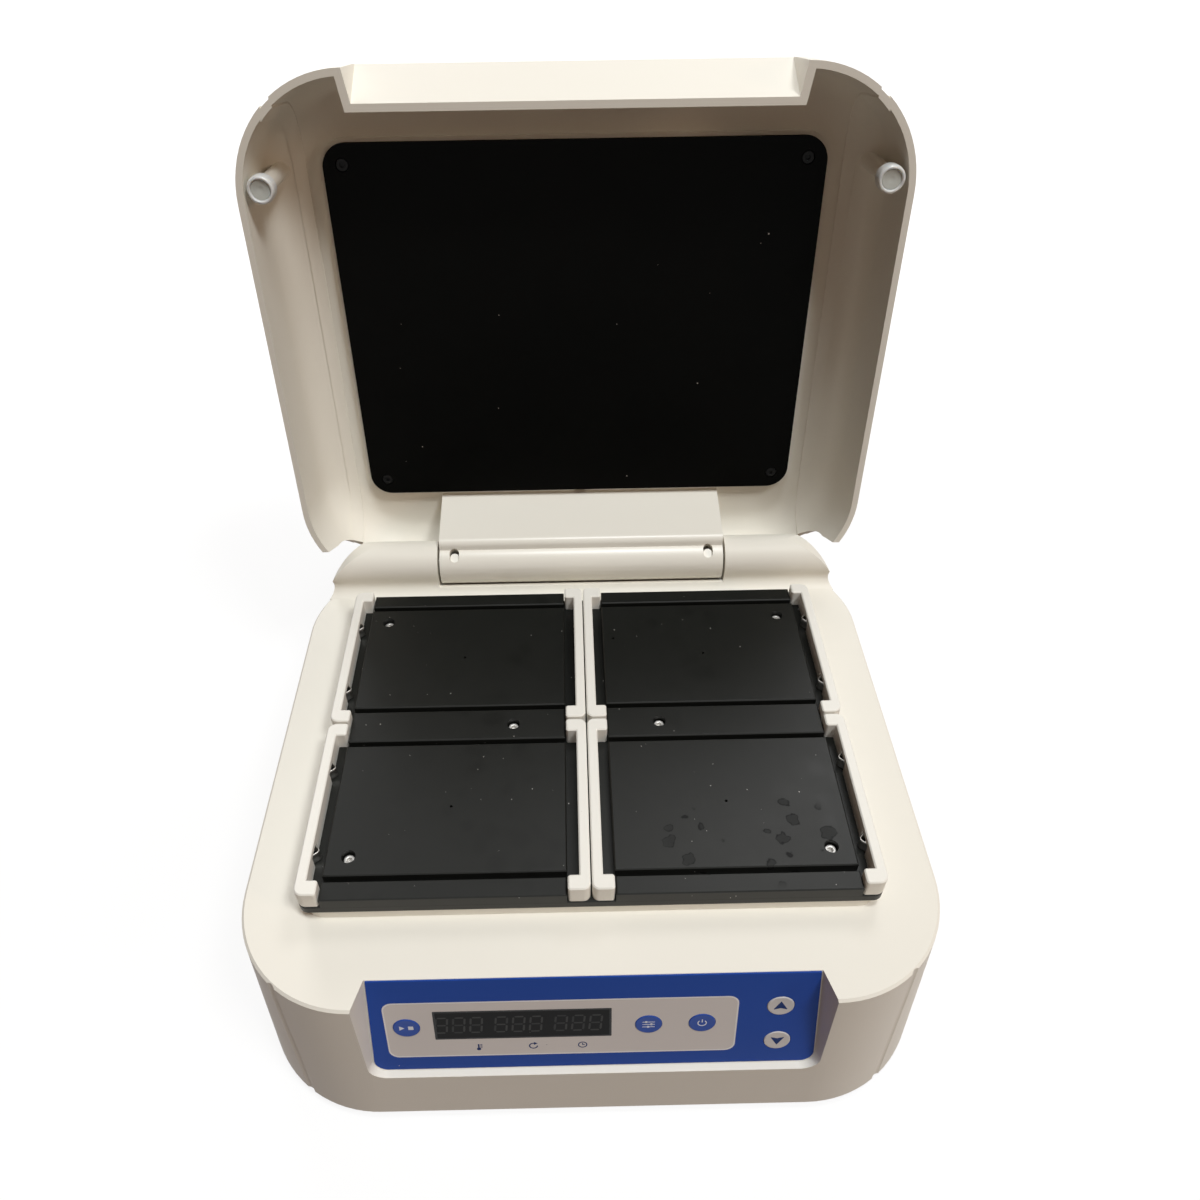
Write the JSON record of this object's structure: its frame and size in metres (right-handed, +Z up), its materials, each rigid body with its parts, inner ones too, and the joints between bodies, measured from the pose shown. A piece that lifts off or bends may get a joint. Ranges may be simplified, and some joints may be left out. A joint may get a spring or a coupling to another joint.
{
  "type": "microplate incubator",
  "caption": "Bench incubator for microplates: heated orbital block with plate nests in a moulded base, front key panel and a hinged lid.",
  "frame": {"origin": "on the surface that the feet stand on, under the middle of the base", "axes": "+Z up, +Y to the rear, +X to the right of someone who faces the control panel"},
  "size_m": [0.3564, 0.3689, 0.415],
  "materials": {
    "casing": "warm white moulded ABS, fine satin grain",
    "sheet_steel": "zinc-plated sheet",
    "foot_rubber": "matte",
    "screw_steel": "stainless",
    "panel_blue": "printed overlay, satin",
    "field_silver": "silver-grey print, satin",
    "display_dark": "tinted window",
    "board_green": "circuit board",
    "black_plastic": "black moulded plastic",
    "frame_aluminium": "machined",
    "motor_paint": "black can",
    "belt_rubber": "matte",
    "brass_weight": "machined",
    "bearing_steel": "ground",
    "insulation": "insulating board",
    "heater_rubber": "silicone heating mat",
    "block_black": "black anodised, satin",
    "lining_black": "black coated, matte",
    "dark_screw": "blackened steel",
    "bumper_silicone": "translucent silicone",
    "bracket_white": "warm white moulded plastic",
    "spring_steel": "spring strip",
    "key_blue": "satin key",
    "key_light": "satin key"
  },
  "bodies": {
    "base": {"bottom_plate": "sheet_steel", "case_screws": "screw_steel", "control_panel": "panel_blue", "crank_bearings": "bearing_steel", "display_module": "board_green", "display_window": "display_dark", "drive_belt": "belt_rubber", "drive_frame": "frame_aluminium", "drive_motor": "motor_paint", "fan_frame": "black_plastic", "feet": "foot_rubber", "frame_columns": "frame_aluminium", "hinge_dampers": "bearing_steel", "idler_bearings_lower": "bearing_steel", "keypad_board": "board_green", "main_board": "board_green", "power_inlet": "black_plastic", "power_supply": "sheet_steel", "silver_field": "field_silver", "top_casing": "casing"},
    "lid": {"lid_shell": "casing", "lid_lining_plate": "lining_black", "lining_screws": "dark_screw", "hinge_arm": "casing", "hinge_pins": "screw_steel", "clamp_screws": "dark_screw", "lid_bumpers": "bumper_silicone"},
    "crank": {"crank_shaft": "screw_steel", "crank_pulley": "frame_aluminium", "counterweight": "brass_weight"},
    "platform": {"eccentric_bearing": "bearing_steel", "idler_bearings_upper": "bearing_steel", "platform_plate": "frame_aluminium", "insulation_pad": "insulation", "heater_film": "heater_rubber", "heating_block": "block_black", "block_screws": "screw_steel", "temperature_sensor": "bearing_steel", "inner_brackets": "bracket_white", "outer_bracket_front_left": "bracket_white", "outer_bracket_front_right": "bracket_white", "outer_bracket_rear_left": "bracket_white", "outer_bracket_rear_right": "bracket_white"},
    "motor_rotor": {"motor_pulley": "frame_aluminium"},
    "fan_rotor": {"fan_rotor": "black_plastic"},
    "rocker": {"switch_rocker": "black_plastic"},
    "idler_front_left": {"idler_crank_front_left": "screw_steel"},
    "spring_front_left": {"leaf_spring_front_left": "spring_steel"},
    "idler_front_right": {"idler_crank_front_right": "screw_steel"},
    "spring_front_right": {"leaf_spring_front_right": "spring_steel"},
    "idler_rear_left": {"idler_crank_rear_left": "screw_steel"},
    "spring_rear_left": {"leaf_spring_rear_left": "spring_steel"},
    "idler_rear_right": {"idler_crank_rear_right": "screw_steel"},
    "spring_rear_right": {"leaf_spring_rear_right": "spring_steel"},
    "key_start": {"key_start": "key_blue"},
    "key_set": {"key_set": "key_blue"},
    "key_off": {"key_off": "key_blue"},
    "key_up": {"key_up": "key_light"},
    "key_down": {"key_down": "key_light"}
  },
  "joints": [
    {"name": "lid_hinge", "type": "hinge", "parent": "base", "child": "lid", "pos_m": [0, 0.137, 0.1278], "axis": [1, 0, 0], "range_deg": [0, 97.7]},
    {"name": "crank_spin", "type": "hinge", "parent": "base", "child": "crank", "pos_m": [-0.001, -0.002, 0.09], "axis": [0, 0, 1], "continuous": true},
    {"name": "platform_orbit", "type": "hinge", "parent": "crank", "child": "platform", "pos_m": [0, -0.002, 0.109], "axis": [0, 0, 1], "continuous": true},
    {"name": "motor_spin", "type": "hinge", "parent": "base", "child": "motor_rotor", "pos_m": [-0.062, -0.002, 0.08], "axis": [0, 0, 1], "continuous": true},
    {"name": "fan_spin", "type": "hinge", "parent": "base", "child": "fan_rotor", "pos_m": [-0.062, 0.1449, 0.05731], "axis": [0, 0.9976, 0.0691], "continuous": true},
    {"name": "power_switch", "type": "hinge", "parent": "base", "child": "rocker", "pos_m": [0.072, 0.15085, 0.07276], "axis": [-1, 0, 0], "range_deg": [0, 16]},
    {"name": "idler_spin_front_left", "type": "hinge", "parent": "base", "child": "idler_front_left", "pos_m": [-0.101, -0.062, 0.07], "axis": [0, 0, 1], "continuous": true},
    {"name": "idler_spin_front_right", "type": "hinge", "parent": "base", "child": "idler_front_right", "pos_m": [0.099, -0.062, 0.07], "axis": [0, 0, 1], "continuous": true},
    {"name": "idler_spin_rear_left", "type": "hinge", "parent": "base", "child": "idler_rear_left", "pos_m": [-0.101, 0.058, 0.07], "axis": [0, 0, 1], "continuous": true},
    {"name": "idler_spin_rear_right", "type": "hinge", "parent": "base", "child": "idler_rear_right", "pos_m": [0.099, 0.058, 0.07], "axis": [0, 0, 1], "continuous": true},
    {"name": "key_start_press", "type": "slide", "parent": "base", "child": "key_start", "axis": [0, 0.9744, -0.2246], "range_m": [0, 0.0004], "stiffness_N_per_m": 700},
    {"name": "key_set_press", "type": "slide", "parent": "base", "child": "key_set", "axis": [0, 0.9744, -0.2246], "range_m": [0, 0.0004], "stiffness_N_per_m": 700},
    {"name": "key_off_press", "type": "slide", "parent": "base", "child": "key_off", "axis": [0, 0.9744, -0.2246], "range_m": [0, 0.0004], "stiffness_N_per_m": 700},
    {"name": "key_up_press", "type": "slide", "parent": "base", "child": "key_up", "axis": [0, 0.9744, -0.2246], "range_m": [0, 0.0004], "stiffness_N_per_m": 700},
    {"name": "key_down_press", "type": "slide", "parent": "base", "child": "key_down", "axis": [0, 0.9744, -0.2246], "range_m": [0, 0.0004], "stiffness_N_per_m": 700},
    {"name": "spring_front_left_press", "type": "slide", "parent": "platform", "child": "spring_front_left", "axis": [-1, 0, 0], "range_m": [0, 0.0015], "stiffness_N_per_m": 3000},
    {"name": "spring_front_right_press", "type": "slide", "parent": "platform", "child": "spring_front_right", "axis": [1, 0, 0], "range_m": [0, 0.0015], "stiffness_N_per_m": 3000},
    {"name": "spring_rear_left_press", "type": "slide", "parent": "platform", "child": "spring_rear_left", "axis": [-1, 0, 0], "range_m": [0, 0.0015], "stiffness_N_per_m": 3000},
    {"name": "spring_rear_right_press", "type": "slide", "parent": "platform", "child": "spring_rear_right", "axis": [1, 0, 0], "range_m": [0, 0.0015], "stiffness_N_per_m": 3000}
  ],
  "couplings": [
    {"joint": "platform_orbit", "follows": "crank_spin", "ratio": -1},
    {"joint": "motor_spin", "follows": "crank_spin", "ratio": 2.5},
    {"joint": "idler_spin_front_left", "follows": "crank_spin", "ratio": 1},
    {"joint": "idler_spin_front_right", "follows": "crank_spin", "ratio": 1},
    {"joint": "idler_spin_rear_left", "follows": "crank_spin", "ratio": 1},
    {"joint": "idler_spin_rear_right", "follows": "crank_spin", "ratio": 1}
  ]
}
